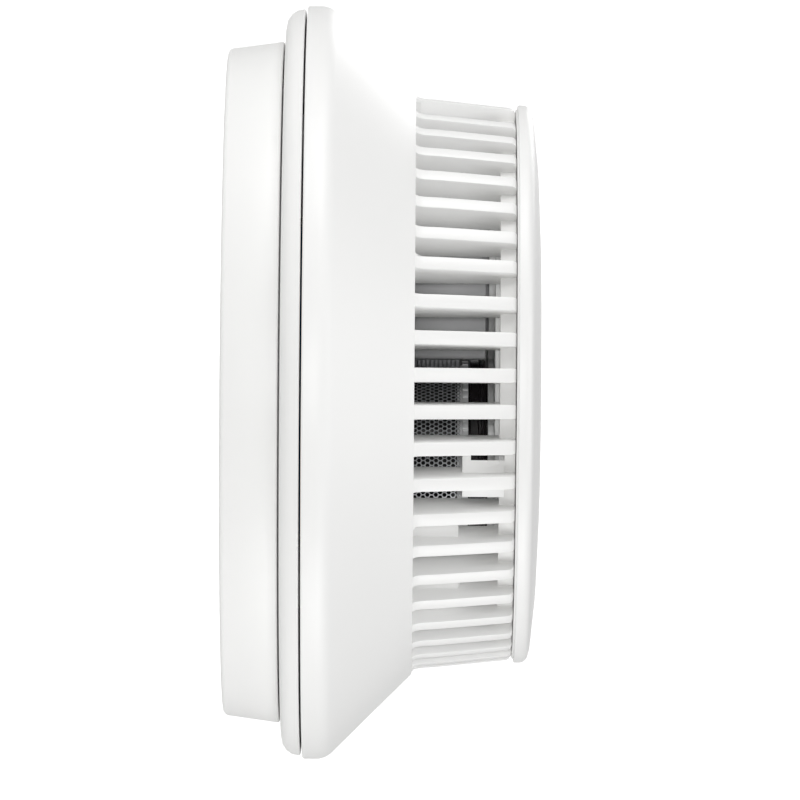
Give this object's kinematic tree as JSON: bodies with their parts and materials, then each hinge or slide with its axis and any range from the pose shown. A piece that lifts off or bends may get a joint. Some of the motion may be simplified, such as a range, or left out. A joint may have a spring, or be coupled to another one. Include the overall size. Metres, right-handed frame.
{
  "type": "smoke detector",
  "caption": "Round white optical smoke alarm: slotted cage around the sensing chamber, central test button, twist-off head on a mounting plate.",
  "frame": {"origin": "centre of the mounting plate's back face, which lies on the ceiling or wall", "axes": "+Z out of the front, along the round alarm's axis; the two screw slots lie along X"},
  "size_m": [0.118, 0.118, 0.0491],
  "materials": {
    "white_abs": "satin moulded, fine spark texture",
    "black_plastic": "matt moulded",
    "grey_plastic": "satin moulded",
    "clear_acrylic": "polished",
    "board_laminate": "solder mask",
    "printed_sleeve": "shrink sleeve",
    "wire_insulation": "satin",
    "tinned_steel": "bright tinned",
    "spring_steel": "plain",
    "brass": "rolled",
    "piezo_ceramic": "silvered fired ceramic",
    "label_film": "matt film"
  },
  "bodies": {
    "plate": {"mounting_plate": "white_abs"},
    "head": {"rear_housing": "white_abs", "front_cover": "white_abs", "front_disc": "white_abs", "light_pipe": "clear_acrylic", "main_board": "board_laminate", "tact_switch": "black_plastic", "status_led": "clear_acrylic", "controller_chip": "black_plastic", "step_up_coil": "black_plastic", "buffer_capacitor": "printed_sleeve", "radio_board": "board_laminate", "radio_shield": "tinned_steel", "aerial_wire": "wire_insulation", "battery_cell": "printed_sleeve", "battery_clip_positive": "spring_steel", "battery_clip_negative": "spring_steel", "slide_switch": "black_plastic", "chamber_base": "black_plastic", "ir_led": "clear_acrylic", "photodiode": "black_plastic", "labyrinth": "black_plastic", "insect_screen": "spring_steel", "screen_clamp": "tinned_steel", "chamber_lid": "black_plastic", "sounder_base": "grey_plastic", "piezo_disc": "brass", "piezo_ceramic": "piezo_ceramic", "sounder_cup": "grey_plastic", "sounder_pin_inner": "brass", "sounder_pin_outer": "brass", "housing_screw_1": "spring_steel", "housing_screw_2": "spring_steel", "housing_screw_3": "spring_steel", "blank_label": "label_film"},
    "test_button": {"test_button": "white_abs"},
    "tact_plunger": {"tact_plunger": "grey_plastic"},
    "power_slider": {"power_slider": "black_plastic"}
  },
  "joints": [
    {"name": "head_twist", "type": "hinge", "parent": "plate", "child": "head", "pos_m": [0, 0, 0], "axis": [0, 0, 1], "range_deg": [0, 20]},
    {"name": "test_button_press", "type": "slide", "parent": "head", "child": "test_button", "axis": [0, 0, -1], "range_m": [0, 0.0008], "stiffness_N_per_m": 800, "springref_m": -0.0005},
    {"name": "tact_plunger_press", "type": "slide", "parent": "head", "child": "tact_plunger", "axis": [0, 0, -1], "range_m": [0, 0.00026]},
    {"name": "power_slide", "type": "slide", "parent": "head", "child": "power_slider", "axis": [0.5, -0.866, 0], "range_m": [0, 0.004]}
  ],
  "couplings": [
    {"joint": "tact_plunger_press", "follows": "test_button_press", "ratio": 0.3125},
    {"joint": "power_slide", "follows": "head_twist", "m_per_rad": 0.0114}
  ]
}
